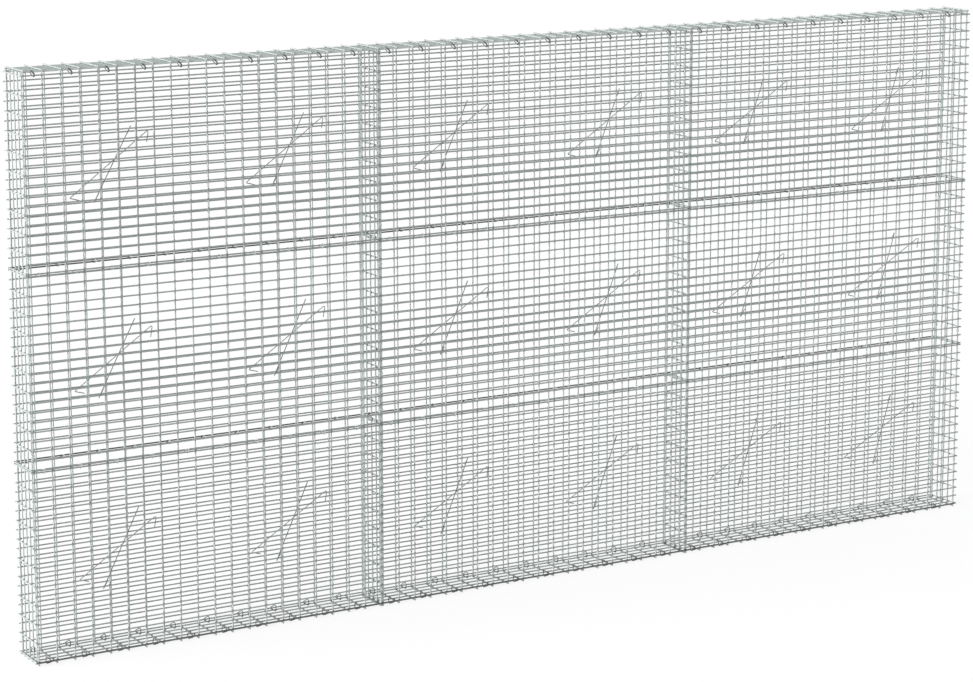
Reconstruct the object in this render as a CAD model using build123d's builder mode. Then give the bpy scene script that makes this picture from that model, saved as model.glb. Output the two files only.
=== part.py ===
"""Gabion wall of welded wire mesh: three bays long, three tiers high, one basket deep, with covers.

Frame: X along the wall, Y through it with the front at -Y, Z up, origin at the bottom centre.
Every sheet is two layers of straight wires, welded where they cross. Hooked ties brace front to back.
"""
import os

from build123d import *

# Driving dimensions, in millimetres

# How many bays, tiers and mesh cells
bay_count = 3
tier_count = 3
cells_along = 20
cells_up = 20
cells_deep = 4
depth_wire_step = 2

# Mesh cells, between wire centres
cell_length = 100.0
cell_height = 50.0
cell_depth = 50.0

# Wire, and the room that two sheets keep at a seam
wire = 8.0
joint_spacing = 11.0
clearance = 0.3

# Hooked tie wires
tie_wire = 5.0
tie_bend = 5.0
tie_low_drop = 23.0
tie_high_rise = 38.0
tie_low_row = 7
tie_high_row = 13
tie_low_column = 3
tie_high_column = 6
tie_pair_step = 10
tie_pair_count = 2

# Free legs of the ties, as they run along the face of the wall: X and Z
front_high_leg = (-11.0, -64.0)
back_low_leg = (55.0, -16.0)
back_high_leg = (-25.0, -49.0)
front_low_leg = (33.0, 56.0)

# Where each tie end stands in its mesh cell, as shares of the cell's length
rising_low_share = 0.28
rising_high_share = 0.63
falling_low_share = 0.51
falling_high_share = 0.80

# The wire's section is an octagon with flats towards the other layer
wire_sides = 8
flat_turn = 180.0 / wire_sides

# Worked out from the values above
bay_span = cells_along * cell_length
bay_pitch = bay_span + joint_spacing
tier_span = cells_up * cell_height
tier_pitch = tier_span + joint_spacing
wall_span = bay_count * bay_span + (bay_count - 1) * joint_spacing
basket_depth = cells_deep * cell_depth
wire_radius = wire / 2
joint_stub = joint_spacing / 2
seam_stub = joint_stub - clearance / 2
end_stub = joint_stub + wire + wire_radius

# Heights: the base sheet's two layers on the ground, then the lowest wire of the upright sheets
base_top = wire + wire
lowest_wire = base_top + clearance + wire_radius
top_stub = lowest_wire
highest_wire = lowest_wire + tier_count * tier_span + (tier_count - 1) * joint_spacing
cover_middle = highest_wire + top_stub
cross_top_stub = top_stub - wire - clearance

# Depths: the long sheets stand outside the cross sheets' edge wires
cross_face = basket_depth / 2 + wire_radius
face_middle = cross_face + clearance + wire
face_outside = face_middle + wire
tie_leg_depth = face_outside + clearance + tie_wire / 2


def mesh_sheet(plane, line_count, line_pitch, line_ends, cross_count, cross_pitch, cross_ends):
    """Welded sheet with its line wires along the plane's x, above it, and its cross wires along y, below.

    The plane's origin is the first crossing. Each pair of ends is measured along the wire from there.
    """
    line_start = plane.from_local_coords((line_ends[0], 0, wire_radius))
    cross_start = plane.from_local_coords((0, cross_ends[0], -wire_radius))
    with BuildPart() as sheet:
        with BuildSketch(Plane(origin=line_start, x_dir=plane.y_dir, z_dir=plane.x_dir)):
            with Locations([(row * line_pitch, 0) for row in range(line_count)]):
                RegularPolygon(wire_radius, wire_sides, major_radius=False, rotation=flat_turn)
        extrude(amount=line_ends[1] - line_ends[0])
        with BuildSketch(Plane(origin=cross_start, x_dir=plane.x_dir, z_dir=-plane.y_dir)):
            with Locations([(column * cross_pitch, 0) for column in range(cross_count)]):
                RegularPolygon(wire_radius, wire_sides, major_radius=False, rotation=flat_turn)
        extrude(amount=-(cross_ends[1] - cross_ends[0]))
    return sheet.part


def bay_start(bay):
    """X of the bay's first upright wire."""
    return bay * bay_pitch - wall_span / 2


def tier_start(tier):
    """Z of the tier's lowest line wire."""
    return lowest_wire + tier * tier_pitch


def along_ends(bay):
    """Ends of the wires along a bay: they meet the next bay's at a seam, and stand out at a free end."""
    low = end_stub if bay == 0 else seam_stub
    high = end_stub if bay == bay_count - 1 else seam_stub
    return (-low, bay_span + high)


def upright_ends(tier, foot, head):
    """Ends of the upright wires in a tier: they stand on the tier below and carry the one above."""
    low = foot if tier == 0 else joint_stub
    high = head if tier == tier_count - 1 else joint_stub
    return (-low, tier_span + high)


def keep(part, name):
    """Label a finished piece and write it."""
    part.label = name
    export_step(part, f"parts/{name}.step", write_pcurves=False)


def front_sheet(bay, tier):
    """Front panel: line wires outside, upright wires inside."""
    corner = (bay_start(bay), -face_middle, tier_start(tier))
    plane = Plane(origin=corner, x_dir=(1, 0, 0), z_dir=(0, -1, 0))
    return mesh_sheet(
        plane,
        cells_up + 1,
        cell_height,
        along_ends(bay),
        cells_along + 1,
        cell_length,
        upright_ends(tier, lowest_wire, top_stub),
    )


def cross_sheet(seam_x, tier, outward, depth_stub):
    """End panel or divider across the wall: depth wires on the outward side of the upright wires."""
    edge_y = -basket_depth / 2 * outward
    corner = (seam_x + outward * wire_radius, edge_y, tier_start(tier))
    plane = Plane(origin=corner, x_dir=(0, outward, 0), z_dir=(outward, 0, 0))
    return mesh_sheet(
        plane,
        cells_up // depth_wire_step + 1,
        cell_height * depth_wire_step,
        (-depth_stub, basket_depth + depth_stub),
        cells_deep + 1,
        cell_depth,
        upright_ends(tier, wire_radius, cross_top_stub),
    )


def level_sheet(bay, height, depth_side, depth_stub):
    """Base or cover of a bay: lengthwise wires, with depth wires above (+1) or below (-1) them."""
    corner = (bay_start(bay), depth_side * basket_depth / 2, height)
    plane = Plane(origin=corner, x_dir=(0, -depth_side, 0), z_dir=(0, 0, depth_side))
    return mesh_sheet(
        plane,
        cells_along + 1,
        cell_length,
        (-depth_stub, basket_depth + depth_stub),
        cells_deep + 1,
        cell_depth,
        along_ends(bay),
    )


def tie_route(bay, tier, pair, low, high):
    """Corner points of one tie: leg end, hook, hook, leg end. Each end is (side, share, leg)."""
    low_side, low_share, low_leg = low
    high_side, high_share, high_leg = high
    column = pair * tie_pair_step
    low_x = bay_start(bay) + (column + tie_low_column + low_share) * cell_length
    high_x = bay_start(bay) + (column + tie_high_column + high_share) * cell_length
    low_z = tier_start(tier) + tie_low_row * cell_height - tie_low_drop
    high_z = tier_start(tier) + tie_high_row * cell_height + tie_high_rise
    low_y = low_side * tie_leg_depth
    high_y = high_side * tie_leg_depth
    return [
        (low_x + low_leg[0], low_y, low_z + low_leg[1]),
        (low_x, low_y, low_z),
        (high_x, high_y, high_z),
        (high_x + high_leg[0], high_y, high_z + high_leg[1]),
    ]


def basket_ties(bay, tier):
    """The hooked ties of one basket: in each pair one rises to the front and one rises to the back."""
    to_front = ((1, rising_low_share, back_low_leg), (-1, rising_high_share, front_high_leg))
    to_back = ((-1, falling_low_share, front_low_leg), (1, falling_high_share, back_high_leg))
    with BuildPart() as ties:
        for pair in range(tie_pair_count):
            for low, high in (to_front, to_back):
                with BuildLine() as route:
                    FilletPolyline(*tie_route(bay, tier, pair, low, high), radius=tie_bend)
                with BuildSketch(Plane(origin=route.line @ 0, z_dir=route.line % 0)):
                    Circle(tie_wire / 2)
                sweep()
    return ties.part


os.makedirs("parts", exist_ok=True)

# Front and back panels, the back ones mirrored from the front
for bay in range(bay_count):
    for tier in range(tier_count):
        front_panel = front_sheet(bay, tier)
        with BuildPart() as back_panel:
            mirror(front_panel, about=Plane.XZ)
        keep(front_panel, f"front_panel_bay{bay + 1}_tier{tier + 1}")
        keep(back_panel.part, f"back_panel_bay{bay + 1}_tier{tier + 1}")

# End panels and dividers, one at each seam of the bays and at both ends
for seam in range(bay_count + 1):
    seam_x = bay_start(seam) - joint_stub
    outward = -1 if seam == 0 else 1
    at_end = seam in (0, bay_count)
    depth_stub = wire_radius + wire if at_end else wire_radius
    seam_name = {0: "left_end_panel", bay_count: "right_end_panel"}.get(seam, f"divider{seam}_panel")
    for tier in range(tier_count):
        keep(cross_sheet(seam_x, tier, outward, depth_stub), f"{seam_name}_tier{tier + 1}")

# Base and cover panels
for bay in range(bay_count):
    keep(level_sheet(bay, wire, -1, wire_radius), f"base_panel_bay{bay + 1}")
    keep(level_sheet(bay, cover_middle, 1, face_outside - basket_depth / 2), f"cover_panel_bay{bay + 1}")

# Ties
for bay in range(bay_count):
    for tier in range(tier_count):
        keep(basket_ties(bay, tier), f"tie_wires_bay{bay + 1}_tier{tier + 1}")
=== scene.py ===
"""Looks of the gabion wall: round galvanised wires with their welds, hooked ties and closing rings.

Lengths are in metres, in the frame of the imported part: X along the wall, front at -Y, Z up.
"""
import math
import random

import bpy
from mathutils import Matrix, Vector


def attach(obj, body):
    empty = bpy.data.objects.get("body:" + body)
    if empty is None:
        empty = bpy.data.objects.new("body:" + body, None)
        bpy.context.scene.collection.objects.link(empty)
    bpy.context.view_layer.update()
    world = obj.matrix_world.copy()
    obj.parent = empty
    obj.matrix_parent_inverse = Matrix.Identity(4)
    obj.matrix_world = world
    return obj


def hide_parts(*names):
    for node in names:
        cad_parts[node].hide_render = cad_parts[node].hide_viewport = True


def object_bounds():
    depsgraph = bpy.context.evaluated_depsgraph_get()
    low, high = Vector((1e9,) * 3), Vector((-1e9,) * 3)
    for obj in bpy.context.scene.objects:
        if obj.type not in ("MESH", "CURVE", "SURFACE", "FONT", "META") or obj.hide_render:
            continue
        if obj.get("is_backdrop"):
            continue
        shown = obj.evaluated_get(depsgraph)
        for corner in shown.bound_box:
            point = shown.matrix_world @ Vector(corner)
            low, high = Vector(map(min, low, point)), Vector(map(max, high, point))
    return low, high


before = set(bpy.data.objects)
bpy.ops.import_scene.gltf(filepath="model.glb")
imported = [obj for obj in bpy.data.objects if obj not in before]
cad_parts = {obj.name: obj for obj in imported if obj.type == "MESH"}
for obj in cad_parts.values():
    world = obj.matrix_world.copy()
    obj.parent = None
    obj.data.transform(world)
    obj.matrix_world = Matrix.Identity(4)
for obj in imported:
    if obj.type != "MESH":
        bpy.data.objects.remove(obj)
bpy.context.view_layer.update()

X_WAY = Vector((1, 0, 0))
Y_WAY = Vector((0, 1, 0))
Z_WAY = Vector((0, 0, 1))

# Mesh of the wall, as in the part
BAYS = 3
TIERS = 3
CELLS_ALONG = 20
CELLS_UP = 20
CELLS_DEEP = 4
DEPTH_WIRE_STEP = 2
CELL_LENGTH = 0.1
CELL_HEIGHT = 0.05
CELL_DEPTH = 0.05
WIRE_RADIUS = 0.004
JOINT = 0.011
CLEARANCE = 0.0003

BAY_SPAN = CELLS_ALONG * CELL_LENGTH
TIER_SPAN = CELLS_UP * CELL_HEIGHT
BAY_PITCH = BAY_SPAN + JOINT
TIER_PITCH = TIER_SPAN + JOINT
WALL_SPAN = BAYS * BAY_SPAN + (BAYS - 1) * JOINT
HALF_DEPTH = CELLS_DEEP * CELL_DEPTH / 2
DEPTH_WIRE_ROWS = CELLS_UP // DEPTH_WIRE_STEP + 1
WIRE = 2 * WIRE_RADIUS
JOINT_STUB = JOINT / 2
SEAM_STUB = JOINT_STUB - CLEARANCE / 2
END_STUB = JOINT_STUB + WIRE + WIRE_RADIUS
LOWEST = 2 * WIRE + CLEARANCE + WIRE_RADIUS
HIGHEST = LOWEST + TIERS * TIER_SPAN + (TIERS - 1) * JOINT
COVER_LINE = HIGHEST + LOWEST - WIRE_RADIUS
CROSS_TOP_STUB = LOWEST - WIRE - CLEARANCE
FACE_MIDDLE = HALF_DEPTH + WIRE_RADIUS + CLEARANCE + WIRE
LINE_Y = FACE_MIDDLE + WIRE_RADIUS
UPRIGHT_Y = FACE_MIDDLE - WIRE_RADIUS
SEAM_NAMES = ("left_end_panel", "divider1_panel", "divider2_panel", "right_end_panel")

# Round wires: sides, bevel of a cut end, and how far a wire wanders from its line at every second weld
WIRE_SIDES = 8
END_BEVEL = 0.0008
END_SHARE = 0.68
WANDER = 0.00028
WANDER_STEP = 2

# Welds: a flattened bead between the two layers
WELD_SIDES = 8
WELD_RADIUS = 0.0065
WELD_RISE = 0.0025
WELD_SPREAD_SHARE = 0.14

# Order of a sheet's zincs. The last two are for line wires along a tier seam and along the bottom edge,
# darkened as painted shade
CROSS_SLOT, WELD_SLOT, LINE_SLOT, SEAM_SLOT, EDGE_SLOT = range(5)

# Hooked ties, as in the part
TIE_RADIUS = 0.0025
TIE_BEND = 0.005
TIE_LEG_Y = LINE_Y + WIRE_RADIUS + CLEARANCE + TIE_RADIUS
TIE_LOW_DROP = 0.023
TIE_HIGH_RISE = 0.038
TIE_LOW_ROW = 7
TIE_HIGH_ROW = 13
TIE_LOW_COLUMN = 3
TIE_HIGH_COLUMN = 6
TIE_PAIR_STEP = 10
TIE_PAIRS = 2
TIE_SIDES = 10
TIE_BEND_STEPS = 5

# Low and high end of the two ties in a pair: side of the wall, share of the cell, free leg in X and Z
TO_FRONT = ((1, 0.28, (0.055, -0.016)), (-1, 0.63, (-0.011, -0.064)))
TO_BACK = ((-1, 0.51, (0.033, 0.056)), (1, 0.8, (-0.025, -0.049)))

# Closing rings, clasped round the edge wires in every second cell along and every fourth cell down
RING_RADIUS = 0.0022
RING_ROOM = 0.0001
RING_REACH = WIRE_RADIUS + RING_RADIUS + RING_ROOM
RING_SIDES = 8
RING_ARC_STEPS = 7
RING_LAP_SHARE = 0.42
RING_LAP_PITCH = 2.1 * RING_RADIUS
RING_SLACK = 0.012
RING_STEP = 2 * CELL_LENGTH
RING_START = CELL_LENGTH / 2
RING_DROP_STEP = 4 * CELL_HEIGHT
RING_DROP_START = 2.5 * CELL_HEIGHT

# Lean of a ring: how far it moves along its wires for each length of depth, to the right in front
RING_LEAN_SHARE = 0.55
RING_LEAN = -RING_LEAN_SHARE * Y_WAY
NO_LEAN = Vector()

# Cool green cast of the zinc's greys
RED_SHARE = 0.92
BLUE_SHARE = 0.975

# Patterns in the zinc: scale, detail and roughness of their noise, and how they mix
MOTTLE = (38.0, 6.0, 0.6)
PATCHES = (5.0, 3.0, 0.5)
GRAIN = (950.0, 4.0, 0.5)
MOTTLE_SHARE = 0.5
PATCH_SHARE = 0.3
TONE_RANGE = (0.25, 0.75)
WORN_RANGE = (0.56, 0.72)
WORN_SHARE = 0.55
WORN_ROUGHNESS = 0.78
SPANGLE_RELIEF_SHARE = 0.35
BUMP_STRENGTH = 0.25
BUMP_DEPTH = 0.0004

# Finishes: metallic share, roughness where smooth and where rough, scale of the spangle
MESH_FINISH = (0.1, 0.5, 0.7, 170.0)
WELD_FINISH = (0.1, 0.55, 0.75, 420.0)
TIE_FINISH = (0.2, 0.25, 0.4, 240.0)
RING_FINISH = (0.2, 0.32, 0.5, 260.0)
EDGE_RING_FINISH = (0.2, 0.3, 0.45, 260.0)

# Camera at the photograph's angle, for a frame of this width
FRAME_WIDTH = 973
FOCAL_PIXELS = 2901.39
FRAME_DROP_PIXELS = 100
SENSOR_WIDTH = 36.0
VIEW_REACH = 600.0
CAMERA_PLACE = (-8.3598, -13.5202, 4.7574)
CAMERA_YAW = math.radians(30.8745)
CAMERA_PITCH = math.radians(10.1164)

# White surroundings: the world's light, and the floor's tone, glow as a light and fill as a background
WHITE = (1, 1, 1, 1)
AMBIENT = 0.42
FLOOR_REACH = 250.0
FLOOR_TONE = 0.35
FLOOR_GLOW = 0.14
FLOOR_FILL = 0.8

# Low soft lamps from the left: the way that each shines, and its strength
LAMP_SOFTNESS = math.radians(24)
LAMPS = {"front_left": ((0.93, 0.3, -0.22), 1.5), "back_left": ((0.95, -0.3, -0.08), 2.6)}

rng = random.Random(20261128)


class Builder:
    """Collects wires and welds, and makes one joined mesh of them."""

    def __init__(self):
        self.points = []
        self.faces = []
        self.slots = []

    def section(self, centre, across, upward, radius, sides):
        """Adds the points of one section and returns their numbers."""
        first = len(self.points)
        for step in range(sides):
            turn = 2 * math.pi * step / sides
            self.points.append(centre + radius * (math.cos(turn) * across + math.sin(turn) * upward))
        return list(range(first, first + sides))

    def bridge(self, low, high, slot):
        """Faces between two sections."""
        sides = len(low)
        for step in range(sides):
            after = (step + 1) % sides
            self.faces.append((low[step], low[after], high[after], high[step]))
            self.slots.append(slot)

    def wire(self, path, radius, sides, slot=0):
        """A round wire along a path, with bevelled cut ends."""
        count = len(path)
        tangents = []
        for step in range(count):
            before = path[max(step - 1, 0)]
            after = path[min(step + 1, count - 1)]
            tangents.append((after - before).normalized())
        start = path[0]
        end = path[-1]
        bevel = min(END_BEVEL, radius)
        stations = [(start, tangents[0], END_SHARE), (start + bevel * tangents[0], tangents[0], 1.0)]
        stations += [(path[step], tangents[step], 1.0) for step in range(1, count - 1)]
        stations += [(end - bevel * tangents[-1], tangents[-1], 1.0), (end, tangents[-1], END_SHARE)]
        across = tangents[0].orthogonal().normalized()
        sections = []
        for centre, tangent, share in stations:
            across = (across - across.dot(tangent) * tangent).normalized()
            sections.append(self.section(centre, across, tangent.cross(across), radius * share, sides))
        for low, high in zip(sections, sections[1:]):
            self.bridge(low, high, slot)
        self.faces.append(tuple(reversed(sections[0])))
        self.faces.append(tuple(sections[-1]))
        self.slots += [slot, slot]

    def weld(self, centre, normal, along):
        """A squeezed bead where two wires cross."""
        across = normal.cross(along)
        first = len(self.points)
        for step in range(WELD_SIDES):
            turn = 2 * math.pi * (step + 0.5) / WELD_SIDES
            radius = WELD_RADIUS * (1 + WELD_SPREAD_SHARE * rng.uniform(-1, 1))
            self.points.append(centre + radius * (math.cos(turn) * along + math.sin(turn) * across))
        top = len(self.points)
        self.points.append(centre + WELD_RISE * normal)
        self.points.append(centre - WELD_RISE * normal)
        for step in range(WELD_SIDES):
            after = first + (step + 1) % WELD_SIDES
            self.faces.append((first + step, after, top))
            self.faces.append((after, first + step, top + 1))
            self.slots += [WELD_SLOT, WELD_SLOT]

    def make(self, name, materials):
        """The joined mesh as an object on the wall."""
        mesh = bpy.data.meshes.new(name)
        mesh.from_pydata([tuple(point) for point in self.points], [], self.faces)
        for material in materials:
            mesh.materials.append(material)
        mesh.polygons.foreach_set("use_smooth", [True] * len(self.faces))
        mesh.polygons.foreach_set("material_index", self.slots)
        mesh.update()
        piece = bpy.data.objects.new(name, mesh)
        bpy.context.scene.collection.objects.link(piece)
        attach(piece, "root")
        return piece


def add_node(tree, kind, values=None, **settings):
    """A shader node with its settings and input values. A value that is a socket is linked."""
    node = tree.nodes.new(kind)
    for key, value in settings.items():
        setattr(node, key, value)
    for key, value in (values or {}).items():
        if isinstance(value, bpy.types.NodeSocket):
            tree.links.new(value, node.inputs[key])
        else:
            node.inputs[key].default_value = value
    return node


def noise(tree, place, pattern):
    """Value of a noise pattern at a place."""
    scale, detail, roughness = pattern
    values = {"Vector": place, "Scale": scale, "Detail": detail, "Roughness": roughness}
    return add_node(tree, "ShaderNodeTexNoise", values).outputs["Fac"]


def blend(tree, share, first, second, **settings):
    """Mix of two values or colours, with a share of the second."""
    values = {"Factor": share, "A": first, "B": second}
    return add_node(tree, "ShaderNodeMix", values, **settings).outputs["Result"]


def remap(tree, value, source, target, **settings):
    """A value carried from one range to another."""
    values = {"Value": value, "From Min": source[0], "From Max": source[1]}
    values.update({"To Min": target[0], "To Max": target[1]})
    return add_node(tree, "ShaderNodeMapRange", values, **settings).outputs["Result"]


def new_tree(name):
    """A new material and its emptied node tree."""
    material = bpy.data.materials.new(name)
    material.use_nodes = True
    material.node_tree.nodes.clear()
    return material, material.node_tree


def grey(value):
    """A zinc grey with a slight cool green cast."""
    return (RED_SHARE * value, value, BLUE_SHARE * value, 1.0)


def zinc(name, tones, finish):
    """Galvanised wire: spangle and mottle in the tone, chalky worn patches, uneven gloss and a fine bump.

    The tones are its dark, its light and its chalky grey.
    """
    dark, light, chalk = [grey(tone) for tone in tones]
    metal, smooth, rough, spangle_scale = finish
    material, tree = new_tree(name)
    place = add_node(tree, "ShaderNodeTexCoord").outputs["Object"]
    spangle = add_node(tree, "ShaderNodeTexVoronoi", {"Vector": place, "Scale": spangle_scale})
    cells = add_node(tree, "ShaderNodeSeparateColor", {"Color": spangle.outputs["Color"]})
    mottle = noise(tree, place, MOTTLE)
    patches = noise(tree, place, PATCHES)
    grain = noise(tree, place, GRAIN)

    mottled = blend(tree, MOTTLE_SHARE, cells.outputs["Red"], mottle)
    tone = blend(tree, PATCH_SHARE, mottled, patches)
    ramp = add_node(tree, "ShaderNodeValToRGB", {"Fac": tone})
    for element, position, colour in zip(ramp.color_ramp.elements, TONE_RANGE, (dark, light)):
        element.position = position
        element.color = colour

    worn = remap(tree, mottle, WORN_RANGE, (0.0, WORN_SHARE), interpolation_type="SMOOTHSTEP")
    gloss = remap(tree, tone, TONE_RANGE, (rough, smooth))
    relief = blend(tree, SPANGLE_RELIEF_SHARE, grain, spangle.outputs["Distance"])
    bump = add_node(
        tree,
        "ShaderNodeBump",
        {"Strength": BUMP_STRENGTH, "Distance": BUMP_DEPTH, "Height": relief},
    )
    shader = add_node(
        tree,
        "ShaderNodeBsdfPrincipled",
        {
            "Base Color": blend(tree, worn, ramp.outputs["Color"], chalk, data_type="RGBA"),
            "Metallic": metal,
            "Roughness": blend(tree, worn, gloss, WORN_ROUGHNESS),
            "Normal": bump.outputs["Normal"],
        },
    )
    add_node(tree, "ShaderNodeOutputMaterial", {"Surface": shader.outputs["BSDF"]})
    return material


mesh_zinc = zinc("galvanised_mesh", (0.48, 0.65, 0.72), MESH_FINISH)
# Uprights: the zinc made lighter than the mesh's, as painted light from the lamps on the left
upright_light_paint = zinc("upright_painted_light", (0.56, 0.74, 0.8), MESH_FINISH)
# Depth wires: the zinc made lighter than the mesh's, as painted light from the left and above
depth_wire_light_paint = zinc("depth_wire_painted_light", (0.54, 0.7, 0.74), MESH_FINISH)
# Cover's lengthwise wires: the zinc made much lighter, as painted light on the top of the wall
cover_light_paint = zinc("cover_wire_painted_light", (0.78, 0.9, 0.92), MESH_FINISH)
# Seam line wires: the zinc darkened as painted shade where close wires shade each other, the back seam
# darker still
front_seam_shade_paint = zinc("front_seam_painted_shade", (0.4, 0.54, 0.6), MESH_FINISH)
back_seam_shade_paint = zinc("back_seam_painted_shade", (0.09, 0.18, 0.26), MESH_FINISH)
# Bottom edge wire of the front: the zinc darkened as painted shade near the ground
bottom_edge_shade_paint = zinc("bottom_edge_wire_painted_shade", (0.12, 0.22, 0.3), MESH_FINISH)
weld_zinc = zinc("galvanised_weld", (0.14, 0.26, 0.36), WELD_FINISH)
tie_zinc = zinc("galvanised_tie", (0.2, 0.34, 0.44), TIE_FINISH)
ring_zinc = zinc("galvanised_ring", (0.74, 0.86, 0.9), RING_FINISH)
# Rings on the bottom and top edges: a darkened copy of the ring zinc, as painted shade
edge_ring_shade_paint = zinc("edge_ring_painted_shade", (0.07, 0.15, 0.24), EDGE_RING_FINISH)


def bay_start(bay):
    """X of the bay's first upright wire."""
    return bay * BAY_PITCH - WALL_SPAN / 2


def tier_start(tier):
    """Z of the tier's lowest line wire."""
    return LOWEST + tier * TIER_PITCH


def along_ends(bay):
    """Ends of the wires along a bay, from its first upright wire."""
    low = END_STUB if bay == 0 else SEAM_STUB
    high = END_STUB if bay == BAYS - 1 else SEAM_STUB
    return -low, BAY_SPAN + high


def upright_ends(tier, foot, head):
    """Ends of the upright wires in a tier, from its lowest line wire."""
    low = foot if tier == 0 else JOINT_STUB
    high = head if tier == TIERS - 1 else JOINT_STUB
    return -low, TIER_SPAN + high


def depth_ends(stub):
    """Ends of the wires across the wall, from the basket's front edge."""
    return -stub, 2 * HALF_DEPTH + stub


def strung(base, way, sideways, ends, stops):
    """Path of one wire: true at its ends and edge welds, wandering a little in between."""
    path = [base + ends[0] * way, base + stops[0] * way]
    path += [base + stop * way + rng.uniform(-WANDER, WANDER) * sideways for stop in stops[1:-1]]
    return path + [base + stops[-1] * way, base + ends[1] * way]


def sheet(
    corner, line_way, cross_way, out_way,
    row_slots, line_pitch, line_ends, crosses, cross_pitch, cross_ends,
):
    """A welded sheet: line wires on the outer side of the corner's plane, cross wires on the inner side.

    The row slots give each line wire its zinc.
    """
    made = Builder()
    lines = len(row_slots)
    outer = corner + WIRE_RADIUS * out_way
    inner = corner - WIRE_RADIUS * out_way
    line_stops = [cross_pitch * step for step in range(0, crosses, WANDER_STEP)]
    cross_stops = [line_pitch * step for step in range(0, lines, WANDER_STEP)]
    for row, slot in enumerate(row_slots):
        base = outer + row * line_pitch * cross_way
        path = strung(base, line_way, cross_way, line_ends, line_stops)
        made.wire(path, WIRE_RADIUS, WIRE_SIDES, slot)
    for column in range(crosses):
        base = inner + column * cross_pitch * line_way
        path = strung(base, cross_way, line_way, cross_ends, cross_stops)
        made.wire(path, WIRE_RADIUS, WIRE_SIDES, CROSS_SLOT)
    for row in range(lines):
        for column in range(crosses):
            crossing = corner + row * line_pitch * cross_way + column * cross_pitch * line_way
            made.weld(crossing, out_way, line_way)
    return made


def keep_sheet(made, node, metals):
    """Puts a sheet in its node's place."""
    piece = made.make(f"{node}_wires", metals)
    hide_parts(node)


# Front and back panels: line wires along the tier seams and the bottom edge of the front darkened as painted
# shade, uprights lighter as painted light
for name, side, seam_shade_paint in (("front", -1, front_seam_shade_paint), ("back", 1, back_seam_shade_paint)):
    for bay in range(BAYS):
        for tier in range(TIERS):
            corner = Vector((bay_start(bay), side * FACE_MIDDLE, tier_start(tier)))
            metals = [upright_light_paint, weld_zinc, mesh_zinc, seam_shade_paint]
            row_slots = [LINE_SLOT] * (CELLS_UP + 1)
            if tier > 0:
                row_slots[0] = SEAM_SLOT
            if tier < TIERS - 1:
                row_slots[-1] = SEAM_SLOT
            if tier == 0 and name == "front":
                metals.append(bottom_edge_shade_paint)
                row_slots[0] = EDGE_SLOT
            made = sheet(
                corner, X_WAY, Z_WAY, side * Y_WAY,
                row_slots, CELL_HEIGHT, along_ends(bay),
                CELLS_ALONG + 1, CELL_LENGTH, upright_ends(tier, LOWEST, LOWEST),
            )
            keep_sheet(made, f"{name}_panel_bay{bay + 1}_tier{tier + 1}", metals)

# End panels and dividers, their uprights and depth wires lighter as painted light
for seam, name in enumerate(SEAM_NAMES):
    outward = -1 if seam == 0 else 1
    depth_stub = WIRE_RADIUS + (WIRE if seam in (0, BAYS) else 0)
    seam_x = bay_start(seam) - JOINT_STUB
    for tier in range(TIERS):
        corner = Vector((seam_x + outward * WIRE_RADIUS, -HALF_DEPTH, tier_start(tier)))
        made = sheet(
            corner, Y_WAY, Z_WAY, outward * X_WAY,
            [LINE_SLOT] * DEPTH_WIRE_ROWS, CELL_HEIGHT * DEPTH_WIRE_STEP, depth_ends(depth_stub),
            CELLS_DEEP + 1, CELL_DEPTH, upright_ends(tier, WIRE_RADIUS, CROSS_TOP_STUB),
        )
        keep_sheet(made, f"{name}_tier{tier + 1}", [upright_light_paint, weld_zinc, depth_wire_light_paint])

# Base and cover panels, the cover's lengthwise wires lighter as painted light
for name, wires, height, depth_side, depth_stub in (
    ("base", mesh_zinc, WIRE, -1, WIRE_RADIUS),
    ("cover", cover_light_paint, COVER_LINE + WIRE_RADIUS, 1, FACE_MIDDLE + WIRE - HALF_DEPTH),
):
    for bay in range(BAYS):
        corner = Vector((bay_start(bay), -HALF_DEPTH, height))
        made = sheet(
            corner, Y_WAY, X_WAY, depth_side * Z_WAY,
            [LINE_SLOT] * (CELLS_ALONG + 1), CELL_LENGTH, depth_ends(depth_stub),
            CELLS_DEEP + 1, CELL_DEPTH, along_ends(bay),
        )
        keep_sheet(made, f"{name}_panel_bay{bay + 1}", [wires, weld_zinc, depth_wire_light_paint])


def rounded(corners, radius, steps):
    """A path through corners, each rounded to a radius."""
    path = [corners[0]]
    for before, corner, after in zip(corners, corners[1:], corners[2:]):
        back = (before - corner).normalized()
        ahead = (after - corner).normalized()
        half = math.acos(max(-1.0, min(1.0, back.dot(ahead)))) / 2
        reach = radius / math.tan(half)
        centre = corner + (back + ahead).normalized() * radius / math.sin(half)
        start = corner + reach * back - centre
        stop = corner + reach * ahead - centre
        turn = start.angle(stop)
        for step in range(steps + 1):
            share = step / steps
            bend = start * math.sin((1 - share) * turn) + stop * math.sin(share * turn)
            path.append(centre + bend / math.sin(turn))
    path.append(corners[-1])
    return path


def tie_corners(bay, tier, pair, low, high):
    """Corner points of one tie: leg end, hook, hook, leg end."""
    low_side, low_share, low_leg = low
    high_side, high_share, high_leg = high
    column = pair * TIE_PAIR_STEP
    low_x = bay_start(bay) + (column + TIE_LOW_COLUMN + low_share) * CELL_LENGTH
    high_x = bay_start(bay) + (column + TIE_HIGH_COLUMN + high_share) * CELL_LENGTH
    low_z = tier_start(tier) + TIE_LOW_ROW * CELL_HEIGHT - TIE_LOW_DROP
    high_z = tier_start(tier) + TIE_HIGH_ROW * CELL_HEIGHT + TIE_HIGH_RISE
    low_hook = Vector((low_x, low_side * TIE_LEG_Y, low_z))
    high_hook = Vector((high_x, high_side * TIE_LEG_Y, high_z))
    low_end = low_hook + Vector((low_leg[0], 0, low_leg[1]))
    high_end = high_hook + Vector((high_leg[0], 0, high_leg[1]))
    return [low_end, low_hook, high_hook, high_end]


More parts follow.
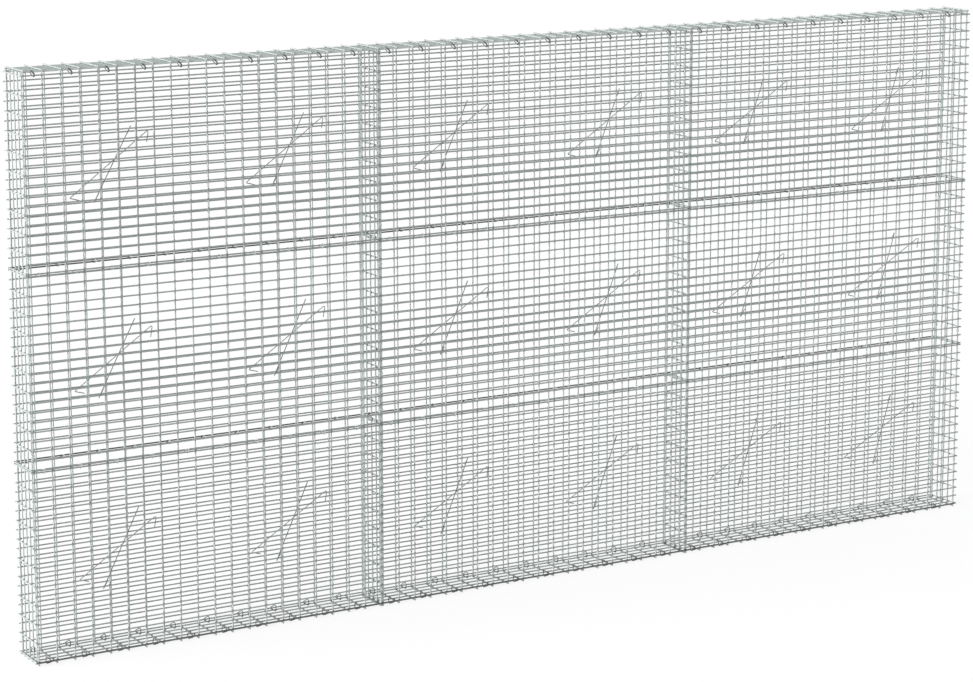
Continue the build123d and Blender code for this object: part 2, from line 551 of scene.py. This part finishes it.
# Hooked ties, two pairs in each basket
for bay in range(BAYS):
    for tier in range(TIERS):
        made = Builder()
        for pair in range(TIE_PAIRS):
            for low, high in (TO_FRONT, TO_BACK):
                path = rounded(tie_corners(bay, tier, pair, low, high), TIE_BEND, TIE_BEND_STEPS)
                made.wire(path, TIE_RADIUS, TIE_SIDES)
        node = f"tie_wires_bay{bay + 1}_tier{tier + 1}"
        piece = made.make(f"{node}_hooked", [tie_zinc])
        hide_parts(node)


def ring_path(centres, axis, lean):
    """A ring clasped round wires that lie along the axis, its ends lapped between the first two.

    It is carried along the axis by its reach in the way that it leans.
    """
    middle = sum(centres, Vector()) / len(centres)
    across = (centres[0] - middle).normalized()
    upward = axis.cross(across)

    def angle(point):
        return math.atan2((point - middle).dot(upward), (point - middle).dot(across))

    order = sorted(centres, key=angle)
    loop = []
    for step, centre in enumerate(order):
        before = order[step - 1]
        after = order[(step + 1) % len(order)]
        start = (centre - before).normalized().cross(axis)
        stop = (after - centre).normalized().cross(axis)
        turn = math.atan2(start.cross(stop).dot(axis), start.dot(stop))
        turn = math.pi if len(order) == 2 else turn
        sideways = axis.cross(start)
        for arc in range(RING_ARC_STEPS + 1):
            part = turn * arc / RING_ARC_STEPS
            loop.append(centre + RING_REACH * (math.cos(part) * start + math.sin(part) * sideways))
    lap_at = order.index(centres[1])
    if order[lap_at - 1] is not centres[0]:
        lap_at = order.index(centres[0])
    turned = lap_at * (RING_ARC_STEPS + 1)
    loop = loop[turned:] + loop[:turned]
    gap = loop[0] - loop[-1]
    loop = [loop[-1] + gap * (0.5 - RING_LAP_SHARE)] + loop + [loop[-1] + gap * (0.5 + RING_LAP_SHARE)]
    count = len(loop) - 1
    return [
        point + (RING_LAP_PITCH * (step / count - 0.5) + lean.dot(point - middle)) * axis
        for step, point in enumerate(loop)
    ]


def keep_rings(name, places, axis, lean, metal):
    """One joined piece of rings, each round its own wires."""
    made = Builder()
    for centres in places:
        made.wire(ring_path(centres, axis, lean), RING_RADIUS, RING_SIDES)
    piece = made.make(name, [metal])


ring_columns = []
for bay in range(BAYS):
    for step in range(round(BAY_SPAN / RING_STEP)):
        ring_columns.append(bay_start(bay) + RING_START + step * RING_STEP)

ring_heights = []
for tier in range(TIERS):
    for step in range(round(TIER_SPAN / RING_DROP_STEP)):
        ring_heights.append(tier_start(tier) + TIER_SPAN - RING_DROP_START - step * RING_DROP_STEP)


def along_wall(held):
    """Points that the rings hold, at each of their places along the wall, from pairs of depth and height."""
    return [[Vector((x, depth, height)) for depth, height in held] for x in ring_columns]


# Rings along the line wires: tier seams, bottom edges, front edge of the covers; those on the edges darkened
# as painted shade
for name, side in (("front", -1), ("back", 1)):
    face = side * LINE_Y
    edge = side * HALF_DEPTH
    for tier in range(1, TIERS):
        height = tier_start(tier)
        held = ((face, height - JOINT), (face, height), (face - side * RING_SLACK, height - JOINT_STUB))
        keep_rings(f"rings_{name}_tier_seam{tier}", along_wall(held), X_WAY, RING_LEAN, ring_zinc)
    held = ((edge, WIRE + WIRE_RADIUS), (face, LOWEST), (edge, LOWEST + RING_SLACK))
    keep_rings(f"rings_{name}_bottom_edge", along_wall(held), X_WAY, RING_LEAN, edge_ring_shade_paint)
held = ((-HALF_DEPTH, COVER_LINE), (-LINE_Y, HIGHEST))
keep_rings("rings_front_top_edge", along_wall(held), X_WAY, RING_LEAN, edge_ring_shade_paint)

# Rings down the corners and dividers, and one on each divider's tier seams
for seam, name in enumerate(SEAM_NAMES):
    seam_x = bay_start(seam) - JOINT_STUB
    places = []
    for side in (-1, 1):
        for height in ring_heights:
            centres = []
            if seam > 0:
                centres.append(Vector((seam_x - JOINT_STUB, side * UPRIGHT_Y, height)))
            if seam < BAYS:
                centres.append(Vector((seam_x + JOINT_STUB, side * UPRIGHT_Y, height)))
            centres.append(Vector((seam_x, side * HALF_DEPTH, height)))
            places.append(centres)
    keep_rings(f"rings_{name}_uprights", places, Z_WAY, NO_LEAN, ring_zinc)
    if seam in (0, BAYS):
        continue
    places = []
    for tier in range(1, TIERS):
        height = tier_start(tier)
        held = ((WIRE, height - JOINT), (WIRE, height), (WIRE - RING_SLACK, height - JOINT_STUB))
        places.append([Vector((seam_x + along, CELL_DEPTH / 2, level)) for along, level in held])
    keep_rings(f"rings_{name}_tier_seams", places, Y_WAY, NO_LEAN, ring_zinc)

# Camera
camera_data = bpy.data.cameras.new("camera")
camera_data.sensor_width = SENSOR_WIDTH
camera_data.lens = SENSOR_WIDTH * FOCAL_PIXELS / FRAME_WIDTH
camera_data.shift_y = -FRAME_DROP_PIXELS / FRAME_WIDTH
camera_data.clip_end = VIEW_REACH
camera = bpy.data.objects.new("camera", camera_data)
camera.location = CAMERA_PLACE
ahead = Vector((
    math.sin(CAMERA_YAW) * math.cos(CAMERA_PITCH),
    math.cos(CAMERA_YAW) * math.cos(CAMERA_PITCH),
    -math.sin(CAMERA_PITCH),
))
camera.rotation_mode = "QUATERNION"
camera.rotation_quaternion = ahead.to_track_quat("-Z", "Y")
bpy.context.scene.collection.objects.link(camera)
bpy.context.scene.camera = camera


def background_ray(tree):
    """1 for rays that see the background: from the camera, a gloss or through glass."""
    path = add_node(tree, "ShaderNodeLightPath")
    seen = add_node(
        tree,
        "ShaderNodeMath",
        {0: path.outputs["Is Camera Ray"], 1: path.outputs["Is Glossy Ray"]},
        operation="MAXIMUM",
    )
    both = add_node(
        tree,
        "ShaderNodeMath",
        {0: seen.outputs[0], 1: path.outputs["Is Transmission Ray"]},
        operation="MAXIMUM",
    )
    return both.outputs[0]


# White world, dimmer as a light than as a background
world = bpy.data.worlds.new("studio")
world.use_nodes = True
bpy.context.scene.world = world
tree = world.node_tree
tree.nodes.clear()
level = remap(tree, background_ray(tree), (0.0, 1.0), (AMBIENT, 1.0))
sky = add_node(tree, "ShaderNodeBackground", {"Color": WHITE, "Strength": level})
add_node(tree, "ShaderNodeOutputWorld", {"Surface": sky.outputs["Background"]})

# Pale floor: it keeps a soft shadow, and what the lamps leave short of white is filled in as a background
material, tree = new_tree("pale_floor")
fill = remap(tree, background_ray(tree), (0.0, 1.0), (FLOOR_GLOW, FLOOR_FILL))
matt = add_node(tree, "ShaderNodeBsdfDiffuse", {"Color": (FLOOR_TONE, FLOOR_TONE, FLOOR_TONE, 1)})
white = add_node(tree, "ShaderNodeEmission", {"Color": WHITE, "Strength": fill})
lit = add_node(tree, "ShaderNodeAddShader", {0: matt.outputs[0], 1: white.outputs[0]})
add_node(tree, "ShaderNodeOutputMaterial", {"Surface": lit.outputs[0]})
floor_mesh = bpy.data.meshes.new("floor")
floor_corners = [(-FLOOR_REACH, -FLOOR_REACH, 0), (FLOOR_REACH, -FLOOR_REACH, 0)]
floor_corners += [(FLOOR_REACH, FLOOR_REACH, 0), (-FLOOR_REACH, FLOOR_REACH, 0)]
floor_mesh.from_pydata(floor_corners, [], [(0, 1, 2, 3)])
floor_mesh.materials.append(material)
floor = bpy.data.objects.new("floor", floor_mesh)
bpy.context.scene.collection.objects.link(floor)
floor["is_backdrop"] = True

# Lamps
for name, (towards, strength) in LAMPS.items():
    lamp_data = bpy.data.lights.new(name, "SUN")
    lamp_data.energy = strength
    lamp_data.angle = LAMP_SOFTNESS
    lamp = bpy.data.objects.new(name, lamp_data)
    lamp.rotation_mode = "QUATERNION"
    lamp.rotation_quaternion = Vector(towards).to_track_quat("-Z", "Y")
    bpy.context.scene.collection.objects.link(lamp)

bpy.context.scene.view_settings.view_transform = "Standard"
bpy.context.view_layer.update()
low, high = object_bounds()
